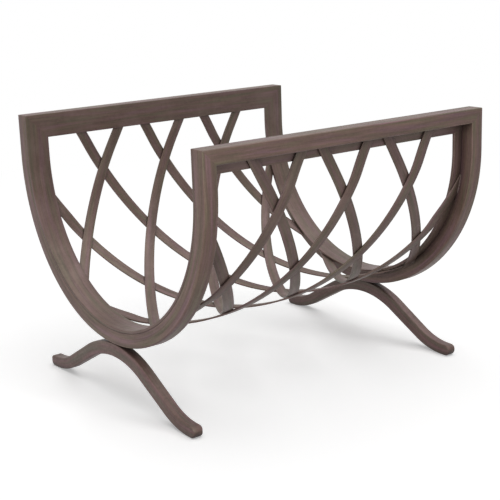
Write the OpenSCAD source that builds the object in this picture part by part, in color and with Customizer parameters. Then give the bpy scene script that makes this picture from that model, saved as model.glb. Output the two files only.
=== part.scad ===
// Firewood log holder: two hoops and two rails of square tube, lined with flat
// strip, closed by a diamond lattice of flat straps, on two arched legs.
// Millimetres, +Z up, origin on the floor under the middle of the holder.
// X runs along the logs from hoop to hoop, Y runs across from rail to rail.

/* [Frame] */
// Overall length, outer side of one hoop to outer side of the other
frame_length = 590; // [540:1:660]
// Overall width, outer face of one rail to outer face of the other
frame_width = 585; // [520:1:630]
// Overall height, floor to the top of the rails
frame_height = 465; // [445:1:560]
// Height of the lowest point of the hoops above the floor
hoop_clearance = 100; // [90:1:115]

/* [Bar and liner] */
// Side of the square section of the hoops and the rails
bar = 25; // [20:0.5:28]
// Radius along the long edges of the hoop and rail tube
bar_edge = 2.5; // [1:0.5:4]
// Wall of the hoop and rail tube
tube_wall = 2; // [1.2:0.1:4]
// Thickness of the flat strip that lines the inside of the hoops and rails
liner_thickness = 5; // [3:0.5:8]
// How far the liner stands past the bar as a lip around the lattice
lip = 18; // [10:0.5:21]

/* [Lattice] */
// Width of each flat strap
strap_width = 19; // [14:0.5:20]
// Thickness of each flat strap
strap_thickness = 3; // [2:0.5:4]

/* [Legs] */
// Width of a leg bar along X
leg_width = 19; // [15:0.5:25]
// Thickness of a leg bar under the hoop
leg_depth = 24; // [20:0.5:26]
// Slope of the straight part of a leg, in degrees
leg_slope = 28.5; // [26:0.5:31]
// Radius under the arch of a leg
arch_radius = 167; // [145:1:180]
// Radius under the heel of a foot, where the slope turns level
heel_radius = 142; // [125:1:155]
// Length of the level face a foot stands on
foot_flat = 6; // [4:1:20]
// Thickness of a foot where its rounded toe begins
foot_thickness = 20; // [15:0.5:22]

/* [Hidden] */
// Space kept between curved faces that lie against each other
skin = 0.3;
// Smoothness of every round
$fn = 180;

// Outer corner of the frame and the inner side of its bars
half_length = frame_length / 2;
half_width = frame_width / 2;
window_x = half_length - bar;
rail_under = frame_height - bar;

// The hoop is a half circle with a straight arm on each side
hoop_radius = half_width;
hoop_centre = hoop_clearance + hoop_radius;

// The liner lies inside the bar and runs past it by the lip
liner_width = bar + lip;
liner_outer = hoop_radius - bar - skin;
liner_inner = liner_outer - liner_thickness;

// The straps lie outside the liner in two layers
inner_layer = liner_outer + skin;
layer_step = strap_thickness + skin;
wrap_radius = inner_layer + strap_thickness / 2;

// Unrolled distance from the underside of one rail round to the other
arm_run = rail_under - hoop_centre;
girth = 2 * arm_run + PI * wrap_radius;

// The crossings outermost along X fall this far beyond the side of the bar
crossing_beyond = 10;
pitch = (window_x + crossing_beyond) / 2;
// Two straps that cross nearest a rail start this share of the pitch apart
start_share = 0.72;
start_x = start_share * pitch / 2;
// Sideways travel of a strap for each unit of girth: three and a bit pitches
// from rail to rail, so the pattern comes out the same on both sides
lean = (start_share + 3) * pitch / girth;
// Half the strap measured along X and half measured along the girth
half_x = strap_width / 2 * sqrt(1 + lean * lean);
half_u = half_x / lean;
// First crossing below a rail, and the crossing nearest a hoop
first_crossing = start_x / lean;
last_crossing = 1.5 * pitch;
// Spacing of the sections a strap is built from, and the width of its cut tip
strap_step = 14;
strap_tip = 1;

// Legs: underside of the arch, straight run between the two bends, foot
arch_under = hoop_clearance - leg_depth;
bend_drop = (arch_radius + heel_radius) * (1 - cos(leg_slope));
leg_straight = (arch_under - bend_drop) / sin(leg_slope);
heel_y = (arch_radius + heel_radius) * sin(leg_slope) + leg_straight * cos(leg_slope);
toe_y = heel_y + foot_flat;
// Rounded toe past the level face, and the height of its nose
toe_length = 11;
nose_height = 12;
// The bar gets thinner from the end of the arch out to the toe
arch_end_y = arch_radius * sin(leg_slope);
// Steps along each bend of a leg, and from the underside of a toe to its nose
bend_steps = 20;
toe_steps = 6;

frame_colour = "#4b433c";
strap_colour = "#453e38";

// Section of the square tube, centred, with rounded corners
module tube_section() {
    flat = bar - 2 * bar_edge;
    difference() {
        union() {
            square([bar, flat], center = true);
            square([flat, bar], center = true);
            for (x = [-flat / 2, flat / 2], y = [-flat / 2, flat / 2])
                translate([x, y])
                    circle(r = bar_edge);
        }
        square(bar - 2 * tube_wall, center = true);
    }
}

// Block across Y whose X and Z outline is the given polygon
module across(outline, depth) {
    rotate([90, 0, 0])
        linear_extrude(height = depth, center = true)
            polygon(outline);
}

// Half circle below the hoop centre, from a section drawn at its radius
module half_ring() {
    translate([0, 0, hoop_centre])
        rotate([90, 0, 90])
            rotate([0, 0, 180])
                rotate_extrude(angle = 180)
                    children();
}

// Right-hand hoop: half circle and two arms, mitred at the top corners
module hoop() {
    translate([half_length - bar / 2, 0, 0])
        half_ring()
            translate([hoop_radius - bar / 2, 0])
                tube_section();
    for (side = [-1, 1])
        intersection() {
            translate([half_length - bar / 2, side * (half_width - bar / 2), hoop_centre])
                linear_extrude(height = frame_height - hoop_centre)
                    tube_section();
            across([[window_x, 0], [half_length, 0], [half_length, frame_height],
                [window_x, rail_under]], 2 * frame_width);
        }
}

// Back rail, mitred at both ends to meet the hoop arms
module rail() {
    intersection() {
        translate([-half_length, half_width - bar / 2, frame_height - bar / 2])
            rotate([90, 0, 90])
                linear_extrude(height = frame_length)
                    tube_section();
        across([[-window_x, rail_under], [window_x, rail_under],
            [half_length, frame_height], [-half_length, frame_height]], 2 * frame_width);
    }
}

// Flat liner of the right-hand hoop, level with the hoop's outer side
module hoop_liner() {
    lip_x = half_length - liner_width;
    half_ring()
        translate([liner_inner, lip_x])
            square([liner_thickness, liner_width]);
    for (side = [-1, 1])
        translate([0, side * (liner_inner + liner_thickness / 2), 0])
            across([[lip_x, hoop_centre], [half_length, hoop_centre],
                [half_length, frame_height], [lip_x, frame_height - liner_width]],
                liner_thickness);
}

// Flat liner of the back rail, level with the rail's top
module rail_liner() {
    lip_x = half_length - liner_width;
    translate([0, liner_inner + liner_thickness / 2, 0])
        across([[-half_length, frame_height], [half_length, frame_height],
            [lip_x, frame_height - liner_width], [-lip_x, frame_height - liner_width]],
            liner_thickness);
}

// Point at a distance round the girth, at radius r on the bent part: [y, z]
function wrap(u, r) =
    u < arm_run ? [-r, rail_under - u] :
    u > girth - arm_run ? [r, rail_under - girth + u] :
    let (turn = (u - arm_run) / wrap_radius * 180 / PI)
    [-r * cos(turn), hoop_centre - r * sin(turn)];

// Smooth step from 0 to 1 as t runs from a to b
function ease(t, a, b) =
    let (f = min(1, max(0, (t - a) / (b - a))))
    f * f * (3 - 2 * f);

// How far a strap of the outer layer has risen off the liner at u, where its
// middle is at x: flat on the lips, over the inner layer at every crossing
function rise(u, x) =
    ease(u, lip, first_crossing - half_u)
    * (1 - ease(x, last_crossing + half_x, window_x - lip - half_x));

// Flat strap from the underside of the front rail, starting at x, round the
// basket to the right-hand hoop, where its end is cut to the side of the bar
module strap(x, outer) {
    full_u = (window_x - half_x - x) / lean;
    tip_u = (window_x + half_x - strap_tip - x) / lean;
    full_steps = ceil(full_u / strap_step);
    tip_steps = ceil((tip_u - full_u) / strap_step);
    stations = concat(
        [for (i = [0:full_steps]) full_u * i / full_steps],
        [for (i = [1:tip_steps]) full_u + (tip_u - full_u) * i / tip_steps]
    );
    last = len(stations) - 1;
    points = [for (u = stations)
        let (
            middle = x + lean * u,
            low = middle - half_x,
            high = min(middle + half_x, window_x),
            base = inner_layer + (outer ? layer_step * rise(u, middle) : 0),
            under = wrap(u, base),
            top = wrap(u, base + strap_thickness)
        )
        each [concat(low, under), concat(high, under), concat(high, top), concat(low, top)]
    ];
    // Corner k of section i; the two narrow edges are twisted, so they are
    // split into triangles
    faces = concat(
        [[0, 1, 2, 3], [for (k = [3:-1:0]) 4 * last + k]],
        [for (i = [0:last - 1], k = [0, 2])
            [4 * i + k, 4 * i + 4 + k, 4 * i + 5 + k, 4 * i + 1 + k]],
        [for (i = [0:last - 1], k = [1, 3])
            let (next = (k + 1) % 4)
            each [[4 * i + k, 4 * i + 4 + k, 4 * i + 4 + next],
                [4 * i + k, 4 * i + 4 + next, 4 * i + next]]]
    );
    polyhedron(points = points, faces = faces);
}

// Numbers 1 to 3 start on the front rail, from the middle of the basket back
// along X; 4 to 6 are the same three turned half round
module inner_strap(number, outer = false) {
    place = (number - 1) % 3;
    rotate([0, 0, number > 3 ? 180 : 0])
        strap((1 - place) * pitch - start_x, outer);
}

// The outer layer is the mirror image of the inner one, passing over it
module outer_strap(number) {
    mirror([1, 0, 0])
        inner_strap(number, true);
}

// Underside of a leg from the middle out to the heel: [y, z, direction]
leg_under = concat(
    [for (i = [0:bend_steps])
        let (a = leg_slope * i / bend_steps)
        [arch_radius * sin(a), arch_under - arch_radius * (1 - cos(a)), -a]],
    [for (i = [0:bend_steps])
        let (a = leg_slope * (1 - i / bend_steps))
        [heel_y - heel_radius * sin(a), heel_radius * (1 - cos(a)), -a]]
);
leg_last = len(leg_under) - 1;

// Thickness of a leg across its underside at y
function depth_at(y) =
    leg_depth - (leg_depth - foot_thickness) * max(0, y - arch_end_y) / (toe_y - arch_end_y);

// Point i of the underside or of the top, on either side of the middle
function under_point(i, side) = [side * leg_under[i][0], leg_under[i][1]];
function top_point(i, side) =
    let (y = leg_under[i][0], a = leg_under[i][2])
    [side * (y - depth_at(y) * sin(a)), leg_under[i][1] + depth_at(y) * cos(a)];

// Point i of a toe, from the end of the level face round the nose to the top
function toe_point(i, side) =
    let (
        a = 90 * i / toe_steps,
        half_height = a < 90 ? nose_height : foot_thickness - nose_height
    )
    [side * (toe_y + toe_length * sin(a)), nose_height - half_height * cos(a)];

// Right-hand leg: one bar bent to an arch with a foot at each end, its outer
// side level with the hoop's
module leg() {
    outline = concat(
        [for (i = [leg_last:-1:1]) under_point(i, -1)],
        [for (i = [0:leg_last]) under_point(i, 1)],
        [for (i = [0:2 * toe_steps]) toe_point(i, 1)],
        [for (i = [leg_last:-1:0]) top_point(i, 1)],
        [for (i = [1:leg_last]) top_point(i, -1)],
        [for (i = [2 * toe_steps:-1:0]) toe_point(i, -1)]
    );
    translate([half_length - leg_width, 0, 0])
        rotate([90, 0, 90])
            linear_extrude(height = leg_width)
                polygon(outline);
}

module hoop_left() color(frame_colour) mirror([1, 0, 0]) hoop();
module hoop_right() color(frame_colour) hoop();
module rail_front() color(frame_colour) mirror([0, 1, 0]) rail();
module rail_back() color(frame_colour) rail();
module hoop_liner_left() color(strap_colour) mirror([1, 0, 0]) hoop_liner();
module hoop_liner_right() color(strap_colour) hoop_liner();
module rail_liner_front() color(strap_colour) mirror([0, 1, 0]) rail_liner();
module rail_liner_back() color(strap_colour) rail_liner();
module inner_strap_1() color(strap_colour) inner_strap(1);
module inner_strap_2() color(strap_colour) inner_strap(2);
module inner_strap_3() color(strap_colour) inner_strap(3);
module inner_strap_4() color(strap_colour) inner_strap(4);
module inner_strap_5() color(strap_colour) inner_strap(5);
module inner_strap_6() color(strap_colour) inner_strap(6);
module outer_strap_1() color(strap_colour) outer_strap(1);
module outer_strap_2() color(strap_colour) outer_strap(2);
module outer_strap_3() color(strap_colour) outer_strap(3);
module outer_strap_4() color(strap_colour) outer_strap(4);
module outer_strap_5() color(strap_colour) outer_strap(5);
module outer_strap_6() color(strap_colour) outer_strap(6);
module leg_left() color(frame_colour) mirror([1, 0, 0]) leg();
module leg_right() color(frame_colour) leg();

hoop_left();
hoop_right();
rail_front();
rail_back();
hoop_liner_left();
hoop_liner_right();
rail_liner_front();
rail_liner_back();
inner_strap_1();
inner_strap_2();
inner_strap_3();
inner_strap_4();
inner_strap_5();
inner_strap_6();
outer_strap_1();
outer_strap_2();
outer_strap_3();
outer_strap_4();
outer_strap_5();
outer_strap_6();
leg_left();
leg_right();
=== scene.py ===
"""Looks of a log holder: bronze-brown powder coat on square tube, flat strip,
lattice straps and bent bar legs, on a plain white studio floor."""

import itertools
import math

import bmesh
import bpy
import numpy as np
from mathutils import Matrix, Vector


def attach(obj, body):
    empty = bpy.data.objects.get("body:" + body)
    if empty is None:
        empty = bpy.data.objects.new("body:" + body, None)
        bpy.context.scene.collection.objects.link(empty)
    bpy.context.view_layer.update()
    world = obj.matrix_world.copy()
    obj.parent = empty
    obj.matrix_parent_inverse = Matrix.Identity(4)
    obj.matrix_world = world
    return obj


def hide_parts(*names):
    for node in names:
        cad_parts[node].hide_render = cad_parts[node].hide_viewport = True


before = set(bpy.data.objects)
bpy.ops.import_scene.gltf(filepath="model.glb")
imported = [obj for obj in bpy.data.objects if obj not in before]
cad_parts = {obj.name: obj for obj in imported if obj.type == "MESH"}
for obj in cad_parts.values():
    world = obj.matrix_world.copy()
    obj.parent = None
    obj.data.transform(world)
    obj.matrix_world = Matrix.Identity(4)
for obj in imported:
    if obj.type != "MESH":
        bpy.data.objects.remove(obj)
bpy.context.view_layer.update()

MM = 0.001

# Sizes of the real pieces, in metres, the same as the solids have
LENGTH, WIDTH, HEIGHT = 590 * MM, 585 * MM, 465 * MM
CLEARANCE = 100 * MM
BAR, BAR_EDGE = 25 * MM, 2.5 * MM
LINER_THICKNESS, LIP = 5 * MM, 18 * MM
STRAP_WIDTH, STRAP_THICKNESS = 19 * MM, 3 * MM
LEG_WIDTH, LEG_DEPTH = 19 * MM, 24 * MM
LEG_SLOPE, ARCH_RADIUS, HEEL_RADIUS = math.radians(28.5), 167 * MM, 142 * MM
FOOT_FLAT, FOOT_THICKNESS = 6 * MM, 20 * MM
TOE_LENGTH, NOSE_HEIGHT = 11 * MM, 12 * MM
SKIN = 0.3 * MM
# The outermost crossings fall this far past the side of the bar, and the
# first two straps start this share of the pitch apart
CROSSING_BEYOND, START_SHARE = 10 * MM, 0.72

# What follows from them
HALF_LENGTH, HALF_WIDTH = LENGTH / 2, WIDTH / 2
WINDOW_X = HALF_LENGTH - BAR
RAIL_UNDER = HEIGHT - BAR
HOOP_CENTRE = CLEARANCE + HALF_WIDTH
LINER_OUTER = HALF_WIDTH - BAR - SKIN
LINER_INNER = LINER_OUTER - LINER_THICKNESS
LINER_WIDTH = BAR + LIP
INNER_LAYER = LINER_OUTER + SKIN
LAYER_STEP = STRAP_THICKNESS + SKIN
WRAP_RADIUS = INNER_LAYER + STRAP_THICKNESS / 2
ARM_RUN = RAIL_UNDER - HOOP_CENTRE
GIRTH = 2 * ARM_RUN + math.pi * WRAP_RADIUS
PITCH = (WINDOW_X + CROSSING_BEYOND) / 2
START_X = START_SHARE * PITCH / 2
LEAN = (START_SHARE + 3) * PITCH / GIRTH
HALF_X = STRAP_WIDTH / 2 * math.sqrt(1 + LEAN * LEAN)
HALF_U = HALF_X / LEAN
FIRST_CROSSING = START_X / LEAN
LAST_CROSSING = 1.5 * PITCH
STRAP_TIP = 1 * MM

# Radii too small for the solids. The tube is squarer next to the liner, where
# the seam is filled; strip and straps have their edges just broken; the leg
# bar is hot rolled and soft; the top corners are ground over the weld
SEAM_EDGE, LINER_EDGE, STRAP_EDGE = 0.6 * MM, 0.8 * MM, 0.6 * MM
LEG_EDGE, CORNER_ROUND = 3 * MM, 1.8 * MM
# How far painted shade spreads from a corner or a gap between two pieces
PAINTED_SHADE_REACH = 22 * MM
# Each piece shows its own stretch of coat: metres to the first stretch and on
# to each next one, and how far each is shifted sideways for every metre
FIRST_STRETCH, NEXT_STRETCH, SIDE_SHIFT = 15.3, 0.9, 0.37
# Faces that meet at more than this show a crisp line, and the square corners
# of a strap are those that turn by more than this
CRISP_ANGLE, SQUARE_ANGLE = math.radians(32), math.radians(60)
# Paler edges, as wear and as painted highlight, start where the surface turns
# by this many degrees, and are full so many further on
WEAR_AND_SHEEN_FROM, WEAR_AND_SHEEN_RAMP = 6, 8


def linear(hex_colour):
    """Turns an sRGB hex colour into the linear RGBA that sockets take."""
    values = [int(hex_colour[i:i + 2], 16) / 255 for i in (1, 3, 5)]
    return [v / 12.92 if v <= 0.04045 else ((v + 0.055) / 1.055) ** 2.4
            for v in values] + [1.0]


def add(tree, kind, inputs=None, **settings):
    """Adds a node, sets its options, and links or sets its inputs."""
    node = tree.nodes.new(kind)
    for name, value in settings.items():
        setattr(node, name, value)
    for name, value in (inputs or {}).items():
        if isinstance(value, bpy.types.NodeSocket):
            tree.links.new(value, node.inputs[name])
        else:
            node.inputs[name].default_value = value
    return node


# Materials

def coat(name, brown, mauve, olive, rub_and_sheen, streak=1.0, grain=1.0, dent=1.0, mottle=0.4):
    """Bronze-brown powder coat, baked on over hot-rolled and brushed steel.

    The eye gets a satin brown that drifts between mauve and olive in bands
    along the bar, fine lengthwise brush lines, a faint mottle, an orange-peel
    skin, shallow roll marks that bend the highlights, edges painted a little
    paler as rubbed wear and as painted highlight, and painted shade that
    darkens corners and gaps. streak, grain, dent and mottle say how strongly
    bands and brush lines, speckle, roll marks and mottle show.
    """
    material = bpy.data.materials.new(name)
    material.use_nodes = True
    tree = material.node_tree
    tree.nodes.clear()
    place = add(tree, "ShaderNodeTexCoord").outputs["Object"]
    run = add(tree, "ShaderNodeUVMap", uv_map="run").outputs["UV"]
    edge = add(tree, "ShaderNodeAttribute", attribute_name="edge").outputs["Fac"]

    def lengthwise(length, width, detail, roughness):
        """Noise in streaks of this length and width along the bar."""
        stretched = add(tree, "ShaderNodeMapping", {
            "Vector": run, "Scale": (1 / length, 1 / width, 1.0)})
        return add(tree, "ShaderNodeTexNoise", {
            "Vector": stretched.outputs["Vector"], "Scale": 1.0,
            "Detail": detail, "Roughness": roughness}).outputs["Fac"]

    # Drift of hue in bands 120 mm long and 9 mm wide
    drift = lengthwise(120 * MM, 9 * MM, 2.0, 0.5)
    # Bands of tone 150 mm long and 7 mm wide, and brush lines 45 mm by 1.8 mm
    bands = lengthwise(150 * MM, 7 * MM, 2.0, 0.5)
    lines = lengthwise(45 * MM, 1.8 * MM, 3.0, 0.6)
    # Speckle of the powder, drawn 1.6 mm wide, as finer would not show; clouds
    # 40 mm across, where the coat went on thicker or thinner; and mottle 6 mm
    # across, from the hot-rolled skin under the coat
    speckle, clouds, skin = [
        add(tree, "ShaderNodeTexNoise", {
            "Vector": place, "Scale": 1 / across,
            "Detail": detail, "Roughness": roughness}).outputs["Fac"]
        for across, detail, roughness in (
            (1.6 * MM, 2.0, 0.6), (40 * MM, 2.0, 0.5), (6 * MM, 3.0, 0.6))]

    to_mauve = add(tree, "ShaderNodeMapRange", {
        "Value": drift, "From Min": 0.50, "From Max": 0.66}).outputs["Result"]
    to_olive = add(tree, "ShaderNodeMapRange", {
        "Value": drift, "From Min": 0.50, "From Max": 0.34}).outputs["Result"]
    warm = add(tree, "ShaderNodeMix", {
        "Factor": to_mauve, "A": linear(brown), "B": linear(mauve)}, data_type="RGBA")
    hue = add(tree, "ShaderNodeMix", {
        "Factor": to_olive, "A": warm.outputs[2], "B": linear(olive)}, data_type="RGBA")

    # Tone: how much lighter or darker than its hue the coat is at a point.
    # Each pattern has a weight, and the sum is divided by its middle value
    weights = (
        (bands, 0.9 * streak), (lines, 0.75 * streak), (speckle, 0.5 * grain),
        (clouds, 0.2), (skin, mottle))
    total = 1.0 - 0.45 * streak
    middle = total + sum(weight for _, weight in weights) / 2
    for pattern, weight in weights:
        total = add(tree, "ShaderNodeMath", {0: pattern, 1: weight, 2: total},
                    operation="MULTIPLY_ADD").outputs[0]
    tone = add(tree, "ShaderNodeMath", {0: total, 1: middle}, operation="DIVIDE").outputs[0]
    contrast = add(tree, "ShaderNodeMapRange", {
        "Value": tone, "From Min": 0.8, "From Max": 1.2, "To Min": 0.6, "To Max": 1.4})
    # Painted shade: the colour is darkened in the corners and in the gaps where two pieces lie
    # together, where shade falls
    gap = add(tree, "ShaderNodeAmbientOcclusion", {"Distance": PAINTED_SHADE_REACH}, samples=8)
    painted_shade_factor = add(tree, "ShaderNodeMapRange", {
        "Value": gap.outputs["AO"], "From Min": 0.3, "From Max": 0.9,
        "To Min": 0.3, "To Max": 1.0})
    level = add(tree, "ShaderNodeMath", {
        0: contrast.outputs["Result"], 1: painted_shade_factor.outputs["Result"]},
        operation="MULTIPLY").outputs[0]
    grey = add(tree, "ShaderNodeCombineColor", {"Red": level, "Green": level, "Blue": level})
    body = add(tree, "ShaderNodeMix", {
        "Factor": 1.0, "A": hue.outputs[2], "B": grey.outputs[0]},
        data_type="RGBA", blend_type="MULTIPLY")

    # Edges painted paler, as rubbed wear and as painted highlight where they catch the light,
    # broken up so that no line of it is even
    patchy = add(tree, "ShaderNodeMapRange", {
        "Value": clouds, "From Min": 0.42, "From Max": 0.66, "To Min": 0.05, "To Max": 0.22})
    wear_and_sheen = add(tree, "ShaderNodeMath", {0: edge, 1: patchy.outputs["Result"]},
               operation="MULTIPLY").outputs[0]
    colour = add(tree, "ShaderNodeMix", {
        "Factor": wear_and_sheen, "A": body.outputs[2], "B": linear(rub_and_sheen)}, data_type="RGBA")

    # Paler coat is smoother, and so are the paler edges
    matt = add(tree, "ShaderNodeMapRange", {
        "Value": tone, "From Min": 0.8, "From Max": 1.2, "To Min": 0.54, "To Max": 0.42})
    rough = add(tree, "ShaderNodeMath", {0: wear_and_sheen, 1: -0.08, 2: matt.outputs["Result"]},
                operation="MULTIPLY_ADD")

    # Relief: orange peel 0.10 mm high, brush lines 0.12 mm, and roll marks
    # 0.5 mm high, 35 mm long and 6 mm wide
    marks = lengthwise(35 * MM, 6 * MM, 1.0, 0.4)
    relief = {}
    for height, depth in (
            (speckle, 0.10 * MM * grain), (lines, 0.12 * MM * streak), (marks, 0.5 * MM * dent)):
        bump = add(tree, "ShaderNodeBump", {
            "Height": height, "Strength": 1.0, "Distance": depth, **relief})
        relief = {"Normal": bump.outputs["Normal"]}

    shader = add(tree, "ShaderNodeBsdfPrincipled", {
        "Base Color": colour.outputs[2], "Roughness": rough.outputs[0],
        "Metallic": 0.25, "IOR": 1.5, **relief})
    add(tree, "ShaderNodeOutputMaterial", {"Surface": shader.outputs["BSDF"]})
    return material


# Square tube: the palest, with the strongest brush lines, so that its flat
# faces look drawn
tube_coat = coat(
    "bronze_powder_coat_on_square_tube",
    brown="#664f46", mauve="#6f5355", olive="#5e5240", rub_and_sheen="#77665d", streak=1.25)
# Flat strip: painted a shade darker than the tube, as painted shade for the tube's shade that it
# lies in, which sets the lip apart
strip_coat_with_painted_shade = coat(
    "bronze_powder_coat_on_flat_strip",
    brown="#5d4840", mauve="#654c4c", olive="#564b3c", rub_and_sheen="#7a6a61")
# Lattice straps: a touch lighter than the strip, yet painted darker than the tube as painted
# shade for the shade they lie in, with paler edges as rubbed wear and painted highlight
strap_coat_with_painted_shade = coat(
    "bronze_powder_coat_on_lattice_strap",
    brown="#5f4a42", mauve="#674e4e", olive="#574c3d", rub_and_sheen="#7d6d64")
# Bent bar: the hot-rolled skin shows through as mottle and deeper roll marks
leg_coat = coat(
    "bronze_powder_coat_on_bent_bar",
    brown="#5e4841", mauve="#684b4b", olive="#564b40", rub_and_sheen="#75655d", dent=1.5, mottle=0.9)
# Weld bead: darker and grainier, with hardly a brush line
weld_coat = coat(
    "bronze_powder_coat_on_weld_bead",
    brown="#544039", mauve="#5a4542", olive="#50433a", rub_and_sheen="#75655d", streak=0.3, grain=1.3)


# Making and finishing the bars

def bar_section(width, depth, radii, steps=5):
    """Points round a bar's section centred on the origin, one radius a corner.

    Starts at the corner with both coordinates positive and runs round it.
    """
    points = []
    for corner, (sx, sy) in enumerate(((1, 1), (-1, 1), (-1, -1), (1, -1))):
        radius = radii[corner]
        centre = (sx * (width / 2 - radius), sy * (depth / 2 - radius))
        for step in range(steps + 1):
            turn = math.radians(90 * (corner + step / steps))
            points.append((centre[0] + radius * math.cos(turn),
                           centre[1] + radius * math.sin(turn)))
    return np.array(points)


def mark_edges(mesh):
    """Writes a value to each point: 1 where the surface turns a corner."""
    shape = bmesh.new()
    shape.from_mesh(mesh)
    shape.normal_update()
    values = np.zeros(len(shape.verts))
    for line in shape.edges:
        if len(line.link_faces) == 2:
            angle = math.degrees(line.calc_face_angle(0.0))
            share = min(1.0, max(0.0, (angle - WEAR_AND_SHEEN_FROM) / WEAR_AND_SHEEN_RAMP))
            for point in line.verts:
                values[point.index] = max(values[point.index], share)
    shape.free()
    stored = mesh.attributes.new("edge", "FLOAT", "POINT")
    stored.data.foreach_set("value", values.astype(np.float32))


stretches = itertools.count()


def shift_run(mesh):
    """Moves the run map on, so that each piece shows its own stretch of coat."""
    metres = FIRST_STRETCH + NEXT_STRETCH * next(stretches)
    for loop in mesh.uv_layers.get("run").uv:
        loop.vector += Vector((metres, SIDE_SHIFT * metres))


def finish_piece(piece, material, nodes):
    """Gives a piece its material and its body, and hides the solids it stands for."""
    shift_run(piece.data)
    piece.data.materials.clear()
    piece.data.materials.append(material)
    mark_edges(piece.data)
    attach(piece, "root")
    if nodes:
        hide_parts(*nodes)


def lengths_round(section):
    """Distance round a section at each of its points, back to the first."""
    loop = np.vstack([section, section[:1]])
    return np.concatenate([[0], np.cumsum(np.linalg.norm(np.diff(loop, axis=0), axis=1))])


def bar_from_rings(name, rings, around):
    """Skins a list of rings of points into a closed bar with flat ends.

    The map called run holds metres along the bar and, from around, metres
    round its section.
    """
    rings = np.asarray(rings)
    count, size = rings.shape[:2]
    steps = np.linalg.norm(np.diff(rings.mean(axis=1), axis=0), axis=1)
    distance = np.concatenate([[0], np.cumsum(steps)])
    shape = bmesh.new()
    points = [[shape.verts.new(p) for p in ring] for ring in rings]
    run = shape.loops.layers.uv.new("run")
    for i in range(count - 1):
        for k in range(size):
            after = (k + 1) % size
            face = shape.faces.new((
                points[i][k], points[i][after], points[i + 1][after], points[i + 1][k]))
            face.smooth = True
            across = (around[k], around[k + 1], around[k + 1], around[k])
            for loop, ring, metres in zip(face.loops, (i, i, i + 1, i + 1), across):
                loop[run].uv = (distance[ring], metres)
    for ring in (points[0], points[-1]):
        face = shape.faces.new(ring)
        for loop in face.loops:
            loop[run].uv = (loop.vert.co.x, loop.vert.co.y)
    bmesh.ops.recalc_face_normals(shape, faces=shape.faces)
    for line in shape.edges:
        if len(line.link_faces) == 2 and line.calc_face_angle(0.0) > CRISP_ANGLE:
            line.smooth = False
    mesh = bpy.data.meshes.new(name)
    shape.to_mesh(mesh)
    shape.free()
    piece = bpy.data.objects.new(name, mesh)
    bpy.context.collection.objects.link(piece)
    return piece


# Hoops and rails, each lined with flat strip

# Distances from a mitre at which a bar has rings, close together near it,
# and further ones that only a rail needs
NEAR_MITRE = [d * MM for d in (0, 0.3, 0.7, 1.2, 1.9, 3, 6, 12, 24)]
ALONG_RAIL = [60 * MM, 120 * MM]
# Steps round the half circle of a hoop
HOOP_STEPS = 90


def round_corner(points):
    """Rounds the outer top corners, where the mitred pieces meet."""
    points = points.copy()
    side = np.sign(points[:, 0])
    off_end = HALF_LENGTH - np.abs(points[:, 0]) - CORNER_ROUND
    off_top = HEIGHT - points[:, 2] - CORNER_ROUND
    reach = np.hypot(off_end, off_top)
    outside = (off_end < 0) & (off_top < 0) & (reach > CORNER_ROUND)
    shrink = CORNER_ROUND / reach[outside]
    points[outside, 0] = side[outside] * (HALF_LENGTH - CORNER_ROUND - off_end[outside] * shrink)
    points[outside, 2] = HEIGHT - CORNER_ROUND - off_top[outside] * shrink
    return points


def hoop_piece(name, side, section, radius, middle_x):
    """A bar bent to the hoop: two mitred arms and a half circle.

    section holds (across X, outwards) points; radius is to its middle.
    """
    x = side * (middle_x + section[:, 0])
    from_end = HALF_LENGTH - np.abs(x)
    out = radius + section[:, 1]
    arms = []
    for y_side in (-1, 1):
        arm = [round_corner(np.stack([x, y_side * out, HEIGHT - from_end - drop], axis=1))
               for drop in NEAR_MITRE]
        arm.append(np.stack([x, y_side * out, np.full(len(x), HOOP_CENTRE)], axis=1))
        arms.append(arm)
    bend = []
    for i in range(1, HOOP_STEPS):
        turn = math.pi * i / HOOP_STEPS
        bend.append(np.stack([
            x, -out * math.cos(turn), HOOP_CENTRE - out * math.sin(turn)], axis=1))
    return bar_from_rings(name, arms[0] + bend + arms[1][::-1], lengths_round(section))


def rail_piece(name, side, section, middle_y, middle_z):
    """A straight bar between the hoops, mitred at both ends.

    section holds (outwards, up) points.
    """
    y = side * (middle_y + section[:, 0])
    z = middle_z + section[:, 1]
    from_top = HEIGHT - z
    halves = []
    for end in (-1, 1):
        halves.append([
            round_corner(np.stack([end * (HALF_LENGTH - from_top - inset), y, z], axis=1))
            for inset in NEAR_MITRE + ALONG_RAIL])
    return bar_from_rings(name, halves[0] + halves[1][::-1], lengths_round(section))


hoop_section = bar_section(BAR, BAR, [BAR_EDGE, BAR_EDGE, SEAM_EDGE, SEAM_EDGE])
rail_section = bar_section(BAR, BAR, [BAR_EDGE, SEAM_EDGE, SEAM_EDGE, BAR_EDGE])
hoop_strip_section = bar_section(LINER_WIDTH, LINER_THICKNESS, [LINER_EDGE] * 4, 3)
rail_strip_section = bar_section(LINER_THICKNESS, LINER_WIDTH, [LINER_EDGE] * 4, 3)
TUBE_MIDDLE = HALF_WIDTH - BAR / 2
STRIP_MIDDLE = LINER_INNER + LINER_THICKNESS / 2

for side, word in ((-1, "left"), (1, "right")):
    hoop = hoop_piece("hoop_tube_" + word, side, hoop_section,
                      TUBE_MIDDLE, HALF_LENGTH - BAR / 2)
    finish_piece(hoop, tube_coat, ["hoop_" + word])
    liner = hoop_piece("hoop_lip_" + word, side, hoop_strip_section,
                       STRIP_MIDDLE, HALF_LENGTH - LINER_WIDTH / 2)
    finish_piece(liner, strip_coat_with_painted_shade, ["hoop_liner_" + word])

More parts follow.
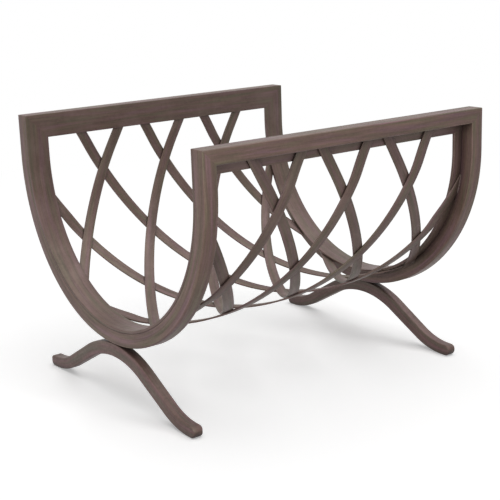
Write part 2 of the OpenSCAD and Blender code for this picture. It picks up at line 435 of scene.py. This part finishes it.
for side, word in ((-1, "front"), (1, "back")):
    rail = rail_piece("rail_tube_" + word, side, rail_section,
                      TUBE_MIDDLE, HEIGHT - BAR / 2)
    finish_piece(rail, tube_coat, ["rail_" + word])
    liner = rail_piece("rail_lip_" + word, side, rail_strip_section,
                       STRIP_MIDDLE, HEIGHT - LINER_WIDTH / 2)
    finish_piece(liner, strip_coat_with_painted_shade, ["rail_liner_" + word])


# Legs: one bar bent to an arch, its feet thinner and turned up at the toe

# Sections of half a leg: round the arch, down the straight part, round the
# heel and round the toe
ARCH_STEPS, STRAIGHT_STEPS, HEEL_STEPS, TOE_STEPS = 24, 8, 20, 14
# How far round the toe goes before it is closed, and how much narrower it is
# there, so that its corners are round from above too
TOE_TURN, TOE_NARROWING = math.radians(86), 0.3
# A section that shrinks keeps its edge radius under this share of its height
THIN_EDGE = 0.4


def leg_stations():
    """Sections of a leg from the middle to the toe.

    Each is (y, z) of the underside, direction, thickness and width.
    """
    arch_under = CLEARANCE - LEG_DEPTH
    drop = (ARCH_RADIUS + HEEL_RADIUS) * (1 - math.cos(LEG_SLOPE))
    straight = (arch_under - drop) / math.sin(LEG_SLOPE)
    heel_y = (ARCH_RADIUS + HEEL_RADIUS) * math.sin(LEG_SLOPE) + straight * math.cos(LEG_SLOPE)
    toe_y = heel_y + FOOT_FLAT
    arch_end_y = ARCH_RADIUS * math.sin(LEG_SLOPE)
    stations = []

    def station(y, z, direction):
        """Adds a section, thinner the nearer it is to the toe."""
        share = max(0.0, y - arch_end_y) / (toe_y - arch_end_y)
        thickness = LEG_DEPTH - (LEG_DEPTH - FOOT_THICKNESS) * share
        stations.append((y, z, direction, thickness, LEG_WIDTH))

    for i in range(ARCH_STEPS + 1):
        a = LEG_SLOPE * i / ARCH_STEPS
        station(ARCH_RADIUS * math.sin(a), arch_under - ARCH_RADIUS * (1 - math.cos(a)), -a)
    high_y, high_z = stations[-1][:2]
    low_y = heel_y - HEEL_RADIUS * math.sin(LEG_SLOPE)
    for i in range(1, STRAIGHT_STEPS):
        y = high_y + (low_y - high_y) * i / STRAIGHT_STEPS
        station(y, high_z - (y - high_y) * math.tan(LEG_SLOPE), -LEG_SLOPE)
    for i in range(HEEL_STEPS + 1):
        a = LEG_SLOPE * (1 - i / HEEL_STEPS)
        station(heel_y - HEEL_RADIUS * math.sin(a), HEEL_RADIUS * (1 - math.cos(a)), -a)
    # The toe: upright sections that shrink towards the nose
    for i in range(TOE_STEPS + 1):
        turn = TOE_TURN * i / TOE_STEPS
        narrow = 1 - TOE_NARROWING * math.sin(turn) ** 6
        stations.append((
            toe_y + TOE_LENGTH * math.sin(turn), NOSE_HEIGHT * (1 - math.cos(turn)), 0.0,
            FOOT_THICKNESS * math.cos(turn), LEG_WIDTH * narrow))
    return stations


def leg_piece(name, side):
    """A leg from toe to toe, its outer side level with the hoop's."""
    stations = leg_stations()
    rings = []
    for y_side, run in ((-1, stations[:0:-1]), (1, stations)):
        for y, z, a, thick, width in run:
            section = bar_section(width, thick, [min(LEG_EDGE, THIN_EDGE * thick)] * 4)
            x = side * (HALF_LENGTH - LEG_WIDTH / 2) + section[:, 0]
            up = thick / 2 + section[:, 1]
            rings.append(np.stack([
                x, y_side * (y - up * math.sin(a)), z + up * math.cos(a)], axis=1))
    whole = bar_section(LEG_WIDTH, LEG_DEPTH, [LEG_EDGE] * 4)
    return bar_from_rings(name, rings, lengths_round(whole))


for side, word in ((-1, "left"), (1, "right")):
    leg = leg_piece("bent_leg_" + word, side)
    finish_piece(leg, leg_coat, ["leg_" + word])


# Node trees that shape a piece

def new_tree(name, sizes):
    """A geometry node tree with a mesh in, a mesh out and named sizes."""
    tree = bpy.data.node_groups.new(name, "GeometryNodeTree")
    for way in ("INPUT", "OUTPUT"):
        tree.interface.new_socket("Geometry", in_out=way, socket_type="NodeSocketGeometry")
    for label, value in sizes.items():
        kind = "NodeSocketInt" if isinstance(value, int) else "NodeSocketFloat"
        socket = tree.interface.new_socket(label, in_out="INPUT", socket_type=kind)
        socket.default_value = value
    return tree


def run_tree(name, tree, sizes, wire=None):
    """Runs a tree on a new object, or on a wire, and keeps the plain mesh."""
    source = wire or bpy.data.meshes.new(name + "_source")
    worker = bpy.data.objects.new(name + "_worker", source)
    bpy.context.collection.objects.link(worker)
    modifier = worker.modifiers.new("shape", "NODES")
    modifier.node_group = tree
    for item in tree.interface.items_tree:
        if item.item_type == "SOCKET" and item.in_out == "INPUT" and item.name in sizes:
            modifier[item.identifier] = sizes[item.name]
    shaped = worker.evaluated_get(bpy.context.evaluated_depsgraph_get())
    mesh = bpy.data.meshes.new_from_object(shaped)
    mesh.name = name
    worker.modifiers.clear()
    bpy.data.objects.remove(worker)
    piece = bpy.data.objects.new(name, mesh)
    bpy.context.collection.objects.link(piece)
    return piece


def end_tree(tree, mesh, material):
    """Ends a tree: smooth shading, real instances, then the material."""
    smooth = add(tree, "GeometryNodeSetShadeSmooth", {"Geometry": mesh})
    real = add(tree, "GeometryNodeRealizeInstances", {"Geometry": smooth.outputs["Geometry"]})
    coated = add(tree, "GeometryNodeSetMaterial", {
        "Geometry": real.outputs["Geometry"], "Material": material})
    add(tree, "NodeGroupOutput", {"Geometry": coated.outputs["Geometry"]})


# Lattice straps: one node tree bends a flat bar round the basket

strap_sizes = {
    "Start": 0.0, "Run": 0.5, "Lean": LEAN, "Half Width": HALF_X,
    "Thickness": STRAP_THICKNESS, "Base Radius": INNER_LAYER, "Lift": 0.0,
    "Wrap Radius": WRAP_RADIUS, "Arm Run": ARM_RUN, "Centre Height": HOOP_CENTRE,
    "Window": WINDOW_X, "Lip": LIP, "Lift From": FIRST_CROSSING - HALF_U,
    "Lower From": LAST_CROSSING + HALF_X, "Lower To": WINDOW_X - LIP - HALF_X, "Steps": 90,
}


def strap_tree():
    """Flat bar laid along its unrolled path, then wrapped round the girth."""
    tree = new_tree("lattice_strap", strap_sizes)
    size = add(tree, "NodeGroupInput").outputs
    far_end = add(tree, "ShaderNodeCombineXYZ", {"X": size["Run"]})
    line = add(tree, "GeometryNodeCurvePrimitiveLine", {"End": far_end.outputs[0]})
    stepped = add(tree, "GeometryNodeResampleCurve", {
        "Curve": line.outputs["Curve"], "Count": size["Steps"]})
    full_width = add(tree, "ShaderNodeMath", {0: size["Half Width"], 1: 2.0},
                     operation="MULTIPLY")
    section = add(tree, "GeometryNodeCurvePrimitiveQuadrilateral", {
        "Width": full_width.outputs[0], "Height": size["Thickness"]})
    bar = add(tree, "GeometryNodeCurveToMesh", {
        "Curve": stepped.outputs["Curve"], "Profile Curve": section.outputs["Curve"],
        "Fill Caps": True})
    spot = add(tree, "GeometryNodeInputPosition").outputs[0]
    place = add(tree, "ShaderNodeSeparateXYZ", {0: spot}).outputs
    # Along the strap, across it, and out from the basket
    along, across, out = place["X"], place["Y"], place["Z"]

    middle = add(tree, "ShaderNodeMath", {0: along, 1: size["Lean"], 2: size["Start"]},
                 operation="MULTIPLY_ADD").outputs[0]
    free_x = add(tree, "ShaderNodeMath", {0: middle, 1: across}, operation="ADD")
    x = add(tree, "ShaderNodeMath", {0: free_x.outputs[0], 1: size["Window"]},
            operation="MINIMUM")

    # The outer layer lifts off the lips and lies over the inner one
    lifting = add(tree, "ShaderNodeMapRange", {
        "Value": along, "From Min": size["Lip"], "From Max": size["Lift From"]},
        interpolation_type="SMOOTHSTEP")
    lowering = add(tree, "ShaderNodeMapRange", {
        "Value": middle, "From Min": size["Lower From"], "From Max": size["Lower To"],
        "To Min": 1.0, "To Max": 0.0}, interpolation_type="SMOOTHSTEP")
    share = add(tree, "ShaderNodeMath", {
        0: lifting.outputs["Result"], 1: lowering.outputs["Result"]}, operation="MULTIPLY")
    lift = add(tree, "ShaderNodeMath", {
        0: share.outputs[0], 1: size["Lift"], 2: size["Base Radius"]},
        operation="MULTIPLY_ADD")
    half = add(tree, "ShaderNodeMath", {0: size["Thickness"], 1: 0.5, 2: out},
               operation="MULTIPLY_ADD")
    radius = add(tree, "ShaderNodeMath", {0: lift.outputs[0], 1: half.outputs[0]},
                 operation="ADD").outputs[0]

    # Straight down the arm, then round the bend
    past_arm = add(tree, "ShaderNodeMath", {0: along, 1: size["Arm Run"]},
                   operation="SUBTRACT").outputs[0]
    bent = add(tree, "ShaderNodeMath", {0: past_arm, 1: 0.0}, operation="MAXIMUM")
    above = add(tree, "ShaderNodeMath", {0: past_arm, 1: 0.0}, operation="MINIMUM")
    turn = add(tree, "ShaderNodeMath", {0: bent.outputs[0], 1: size["Wrap Radius"]},
               operation="DIVIDE").outputs[0]
    cosine = add(tree, "ShaderNodeMath", {0: turn}, operation="COSINE")
    sine = add(tree, "ShaderNodeMath", {0: turn}, operation="SINE")
    forward = add(tree, "ShaderNodeMath", {0: radius, 1: cosine.outputs[0]},
                  operation="MULTIPLY")
    y = add(tree, "ShaderNodeMath", {0: forward.outputs[0], 1: -1.0}, operation="MULTIPLY")
    down = add(tree, "ShaderNodeMath", {0: radius, 1: sine.outputs[0], 2: above.outputs[0]},
               operation="MULTIPLY_ADD")
    z = add(tree, "ShaderNodeMath", {0: size["Centre Height"], 1: down.outputs[0]},
            operation="SUBTRACT")
    target = add(tree, "ShaderNodeCombineXYZ", {
        "X": x.outputs[0], "Y": y.outputs[0], "Z": z.outputs[0]})

    # The map is stored before the bar is bent, so it keeps real lengths
    round_it = add(tree, "ShaderNodeMath", {0: across, 1: out}, operation="ADD")
    flat = add(tree, "ShaderNodeCombineXYZ", {"X": along, "Y": round_it.outputs[0]})
    mapped = add(tree, "GeometryNodeStoreNamedAttribute", {
        "Geometry": bar.outputs["Mesh"], "Name": "run", "Value": flat.outputs[0]},
        data_type="FLOAT2", domain="CORNER")
    wrapped = add(tree, "GeometryNodeSetPosition", {
        "Geometry": mapped.outputs["Geometry"], "Position": target.outputs[0]})
    end_tree(tree, wrapped.outputs["Geometry"], strap_coat_with_painted_shade)
    return tree


def strap_start(number):
    """X of the middle of a strap where it starts, under the front rail."""
    return (1 - (number - 1) % 3) * PITCH - START_X


def strap_place(layer, number):
    """Turns straps 4 to 6 half round, and mirrors the outer layer."""
    place = Matrix.Rotation(math.pi if number > 3 else 0.0, 4, "Z")
    if layer == "outer":
        place = Matrix.Scale(-1, 4, (1, 0, 0)) @ place
    return place


def strap_piece(tree, layer, number):
    """One strap, where its solid is: 1 to 3 from the front rail, 4 to 6 the
    same turned half round, and the outer layer their mirror image."""
    start = strap_start(number)
    sizes = {
        "Start": start, "Run": (WINDOW_X + HALF_X - STRAP_TIP - start) / LEAN,
        "Lift": LAYER_STEP if layer == "outer" else 0.0}
    piece = run_tree("lattice_%s_strap_%d" % (layer, number), tree, sizes)
    shape = bmesh.new()
    shape.from_mesh(piece.data)
    shape.transform(strap_place(layer, number))
    bmesh.ops.remove_doubles(shape, verts=shape.verts, dist=1e-6)
    bmesh.ops.recalc_face_normals(shape, faces=shape.faces)
    # Rolled edges of the flat bar, along all its square corners
    corners = [line for line in shape.edges if len(line.link_faces) == 2
               and line.calc_face_angle(0.0) > SQUARE_ANGLE]
    bmesh.ops.bevel(shape, geom=corners, offset=STRAP_EDGE, segments=2, profile=0.5,
                    affect="EDGES", clamp_overlap=True)
    shape.to_mesh(piece.data)
    shape.free()
    return piece


bend_strap = strap_tree()
for layer in ("inner", "outer"):
    for number in range(1, 7):
        strap = strap_piece(bend_strap, layer, number)
        finish_piece(strap, strap_coat_with_painted_shade, ["%s_strap_%d" % (layer, number)])


# Welds: one node tree lays a rippled bead along every line of a wire mesh

weld_sizes = {
    "Radius": 2.0 * MM, "Ripple Pitch": 2.2 * MM, "Ripple": 0.12, "Step": 0.45 * MM,
    "Wander": 0.5 * MM, "Seed": 4.0}
# Radius of the beads under the hoops, a little finer
SEAT_BEAD = 1.9 * MM
# A bead across a strap stops short of its edges: share of the half width that
# it reaches at a rail, share of the slanted end left free at a hoop, and steps
RAIL_REACH, HOOP_GAP, HOOP_BEAD_STEPS = 0.92, 0.03, 8
# Beads of a seat: how far off the middle of the leg, and in from its sides
SEAT_OFF, SEAT_INSET = 12 * MM, 2.5 * MM


def weld_tree():
    """Round bead along each line, rippled, uneven and run out at its ends."""
    tree = new_tree("weld_bead", weld_sizes)
    size = add(tree, "NodeGroupInput").outputs
    paths = add(tree, "GeometryNodeMeshToCurve", {"Mesh": size["Geometry"]})
    stepped = add(tree, "GeometryNodeResampleCurve", {
        "Curve": paths.outputs["Curve"], "Length": size["Step"]}, mode="LENGTH")
    along = add(tree, "GeometryNodeSplineParameter").outputs
    # Ripples left by each pulse of the weld, and ends that run out
    turn = add(tree, "ShaderNodeMath", {0: along["Length"], 1: size["Ripple Pitch"]},
               operation="DIVIDE")
    turn = add(tree, "ShaderNodeMath", {0: turn.outputs[0], 1: math.tau},
               operation="MULTIPLY")
    wave = add(tree, "ShaderNodeMath", {0: turn.outputs[0]}, operation="SINE")
    ripple = add(tree, "ShaderNodeMath", {0: wave.outputs[0], 1: size["Ripple"], 2: 1.0},
                 operation="MULTIPLY_ADD")
    to_end = add(tree, "ShaderNodeMath", {0: 1.0, 1: along["Factor"]}, operation="SUBTRACT")
    middling = add(tree, "ShaderNodeMath", {0: to_end.outputs[0], 1: along["Factor"]},
                   operation="MULTIPLY")
    run_out = add(tree, "ShaderNodeMapRange", {
        "Value": middling.outputs[0], "From Max": 0.1, "To Min": 0.35, "To Max": 1.0})
    swell = add(tree, "ShaderNodeMath", {0: ripple.outputs[0], 1: run_out.outputs["Result"]},
                operation="MULTIPLY")
    radius = add(tree, "ShaderNodeMath", {0: swell.outputs[0], 1: size["Radius"]},
                 operation="MULTIPLY")
    section = add(tree, "GeometryNodeCurvePrimitiveCircle", {"Resolution": 10, "Radius": 1.0})
    bead = add(tree, "GeometryNodeCurveToMesh", {
        "Curve": stepped.outputs["Curve"], "Profile Curve": section.outputs["Curve"],
        "Scale": radius.outputs[0], "Fill Caps": True})
    # Lumps 5 mm apart push the bead off its line
    place = add(tree, "GeometryNodeInputPosition").outputs[0]
    noise = add(tree, "ShaderNodeTexNoise", {
        "Vector": place, "W": size["Seed"], "Scale": 1 / (5 * MM), "Detail": 1.0},
        noise_dimensions="4D")
    centred = add(tree, "ShaderNodeVectorMath", {
        0: noise.outputs["Color"], 1: (0.5, 0.5, 0.5)}, operation="SUBTRACT")
    wander = add(tree, "ShaderNodeVectorMath", {
        0: centred.outputs[0], "Scale": size["Wander"]}, operation="SCALE")
    uneven = add(tree, "GeometryNodeSetPosition", {
        "Geometry": bead.outputs["Mesh"], "Offset": wander.outputs[0]})
    spot = add(tree, "ShaderNodeSeparateXYZ", {0: place}).outputs
    flat = add(tree, "ShaderNodeCombineXYZ", {"X": spot["X"], "Y": spot["Z"]})
    mapped = add(tree, "GeometryNodeStoreNamedAttribute", {
        "Geometry": uneven.outputs["Geometry"], "Name": "run", "Value": flat.outputs[0]},
        data_type="FLOAT2", domain="CORNER")
    end_tree(tree, mapped.outputs["Geometry"], weld_coat)
    return tree


def wire_mesh(name, paths):
    """A mesh of bare edges along each path."""
    points, lines = [], []
    for path in paths:
        first = len(points)
        points += [tuple(p) for p in path]
        lines += [(first + i, first + i + 1) for i in range(len(path) - 1)]
    mesh = bpy.data.meshes.new(name)
    mesh.from_pydata(points, lines, [])
    return mesh


def round_girth(distance, radius):
    """Y and Z at a distance round the girth from the front rail's underside."""
    if distance < ARM_RUN:
        return -radius, RAIL_UNDER - distance
    turn = (distance - ARM_RUN) / WRAP_RADIUS
    return -radius * math.cos(turn), HOOP_CENTRE - radius * math.sin(turn)


def strap_weld_paths():
    """Lines across both ends of every strap, on its outer face."""
    face = INNER_LAYER + STRAP_THICKNESS
    shares = [HOOP_GAP + (1 - 2 * HOOP_GAP) * i / HOOP_BEAD_STEPS
              for i in range(HOOP_BEAD_STEPS + 1)]
    paths = []
    for layer in ("inner", "outer"):
        for number in range(1, 7):
            start, place = strap_start(number), strap_place(layer, number)
            at_rail = [(start + side * HALF_X, -face, RAIL_UNDER)
                       for side in (-RAIL_REACH, 0, RAIL_REACH)]
            first = (WINDOW_X - HALF_X - start) / LEAN
            last = (WINDOW_X + HALF_X - STRAP_TIP - start) / LEAN
            at_hoop = [(WINDOW_X, *round_girth(first + (last - first) * share, face))
                       for share in shares]
            paths += [[place @ Vector(p) for p in path] for path in (at_rail, at_hoop)]
    return paths


def leg_weld_paths():
    """Lines along both sides of the seat of each hoop on its leg."""
    across = [HALF_LENGTH - LEG_WIDTH + SEAT_INSET, HALF_LENGTH - SEAT_INSET]
    return [[(side * x, y_side * SEAT_OFF, CLEARANCE) for x in across]
            for side in (-1, 1) for y_side in (-1, 1)]


lay_bead = weld_tree()
strap_welds = run_tree(
    "strap_end_welds", lay_bead, weld_sizes,
    wire_mesh("strap_end_lines", strap_weld_paths()))
finish_piece(strap_welds, weld_coat, [])
leg_welds = run_tree(
    "hoop_seat_welds", lay_bead, dict(weld_sizes, Radius=SEAT_BEAD),
    wire_mesh("hoop_seat_lines", leg_weld_paths()))
finish_piece(leg_welds, weld_coat, [])


# Floor: the camera and reflections see plain white under the studio light,
# with the shadow of the holder; what it throws back is that of pale grey, so
# that undersides stay dark. Away from the holder the sweep is white all over

# Light of its own that the white near the holder has, which lifts its shadow
FLOOR_GLOW = 0.33
# Distances from the middle of the holder where the sweep starts to turn plain
# white and where it is, and the half size of the floor, in metres
WHITE_FROM, WHITE_AT, FLOOR_REACH = 0.8, 2.2, 60.0


def seen_directly(tree):
    """1 for rays from the camera, reflections and glass, otherwise 0."""
    ray = add(tree, "ShaderNodeLightPath").outputs
    seen = add(tree, "ShaderNodeMath", {
        0: ray["Is Camera Ray"], 1: ray["Is Glossy Ray"]}, operation="MAXIMUM")
    return add(tree, "ShaderNodeMath", {
        0: seen.outputs[0], 1: ray["Is Transmission Ray"]}, operation="MAXIMUM").outputs[0]


def studio_floor():
    """White paper sweep: matt and even, it shows nothing but the soft shadow."""
    material = bpy.data.materials.new("white_studio_sweep")
    material.use_nodes = True
    tree = material.node_tree
    tree.nodes.clear()
    glow = add(tree, "ShaderNodeEmission", {"Color": (1, 1, 1, 1), "Strength": FLOOR_GLOW})
    lit = add(tree, "ShaderNodeBsdfDiffuse", {"Color": (1, 1, 1, 1)})
    near = add(tree, "ShaderNodeAddShader", {0: glow.outputs[0], 1: lit.outputs[0]})
    far = add(tree, "ShaderNodeEmission", {"Color": (1, 1, 1, 1), "Strength": 1.0})
    place = add(tree, "ShaderNodeTexCoord").outputs["Object"]
    away = add(tree, "ShaderNodeVectorMath", {0: place}, operation="LENGTH")
    blend = add(tree, "ShaderNodeMapRange", {
        "Value": away.outputs["Value"], "From Min": WHITE_FROM, "From Max": WHITE_AT},
        interpolation_type="SMOOTHSTEP")
    sweep = add(tree, "ShaderNodeMixShader", {
        0: blend.outputs["Result"], 1: near.outputs[0], 2: far.outputs[0]})
    bounce = add(tree, "ShaderNodeBsdfDiffuse", {"Color": linear("#767676")})
    mixed = add(tree, "ShaderNodeMixShader", {
        0: seen_directly(tree), 1: bounce.outputs[0], 2: sweep.outputs[0]})
    add(tree, "ShaderNodeOutputMaterial", {"Surface": mixed.outputs[0]})
    mesh = bpy.data.meshes.new("studio_floor")
    corners = [(FLOOR_REACH * x, FLOOR_REACH * y, 0)
               for x, y in ((-1, -1), (1, -1), (1, 1), (-1, 1))]
    mesh.from_pydata(corners, [], [(0, 1, 2, 3)])
    mesh.materials.append(material)
    floor = bpy.data.objects.new("studio_floor", mesh)
    bpy.context.collection.objects.link(floor)
    return floor


sweep_floor = studio_floor()

# Light: an even pale sky, a wide soft lamp overhead, a softbox to the left and
# a little in front, and a weak card before the holder that opens up its front
# faces. Softbox and card are flagged off the floor

scene = bpy.context.scene
world = bpy.data.worlds.new("pale_studio")
scene.world = world
world.use_nodes = True
sky = world.node_tree
sky.nodes.clear()
sky_strength = add(sky, "ShaderNodeMapRange", {
    "Value": seen_directly(sky), "To Min": 0.20, "To Max": 1.0})
sky_light = add(sky, "ShaderNodeBackground", {
    "Color": (1, 1, 1, 1), "Strength": sky_strength.outputs["Result"]})
add(sky, "ShaderNodeOutputWorld", {"Surface": sky_light.outputs[0]})


def hold_lamp(name, lamp, towards, place=(0, 0, 0)):
    """Hangs a lamp at a place; towards points from what it lights to it."""
    holder = bpy.data.objects.new(name, lamp)
    holder.rotation_euler = Vector(towards).to_track_quat("Z", "Y").to_euler()
    holder.location = place
    bpy.context.collection.objects.link(holder)
    return holder


overhead = bpy.data.lights.new("overhead_silk", "SUN")
overhead.energy = 1.7
overhead.angle = math.radians(70)
hold_lamp("overhead_silk", overhead, (0.14, -0.1, 0.98))

flagged = bpy.data.collections.new("flagged_off_softbox")
flagged.objects.link(sweep_floor)
flagged.collection_objects[0].light_linking.link_state = "EXCLUDE"


def soft_panel(name, width, height, watts, place, lit_spot):
    """Hangs a soft rectangle of light, turned to the spot that it lights."""
    panel = bpy.data.lights.new(name, "AREA")
    panel.shape = "RECTANGLE"
    panel.size, panel.size_y, panel.energy = width, height, watts
    place = Vector(place)
    holder = hold_lamp(name, panel, place - Vector(lit_spot), place)
    holder.light_linking.receiver_collection = flagged


soft_panel("left_softbox", 1.3, 1.0, 23, (-1.9, -1.05, 0.85), (0, 0, 0.25))
soft_panel("front_card", 0.8, 0.6, 2.7, (-0.1, -1.45, 0.4), (0, -0.3, 0.3))

# Camera: stands where the photograph was taken from, as worked out from the
# frame's edges
camera_data = bpy.data.cameras.new("photo_camera")
camera_data.sensor_width = 36
camera_data.lens = 84.18
camera_data.clip_end = 200
camera = bpy.data.objects.new("photo_camera", camera_data)
bpy.context.collection.objects.link(camera)
azimuth, elevation, roll = math.radians(36.787), math.radians(14.411), math.radians(-1.958)
looked_at, distance = Vector((2.8 * MM, 0, 210.7 * MM)), 2133.8 * MM
ahead = Vector((
    math.sin(azimuth) * math.cos(elevation), math.cos(azimuth) * math.cos(elevation),
    -math.sin(elevation)))
level = ahead.cross(Vector((0, 0, 1))).normalized()
upright = level.cross(ahead)
right = math.cos(roll) * level + math.sin(roll) * upright
up = -math.sin(roll) * level + math.cos(roll) * upright
facing = Matrix((right, up, -ahead)).transposed().to_4x4()
camera.matrix_world = Matrix.Translation(looked_at - distance * ahead) @ facing
scene.camera = camera

scene.view_settings.view_transform = "Standard"
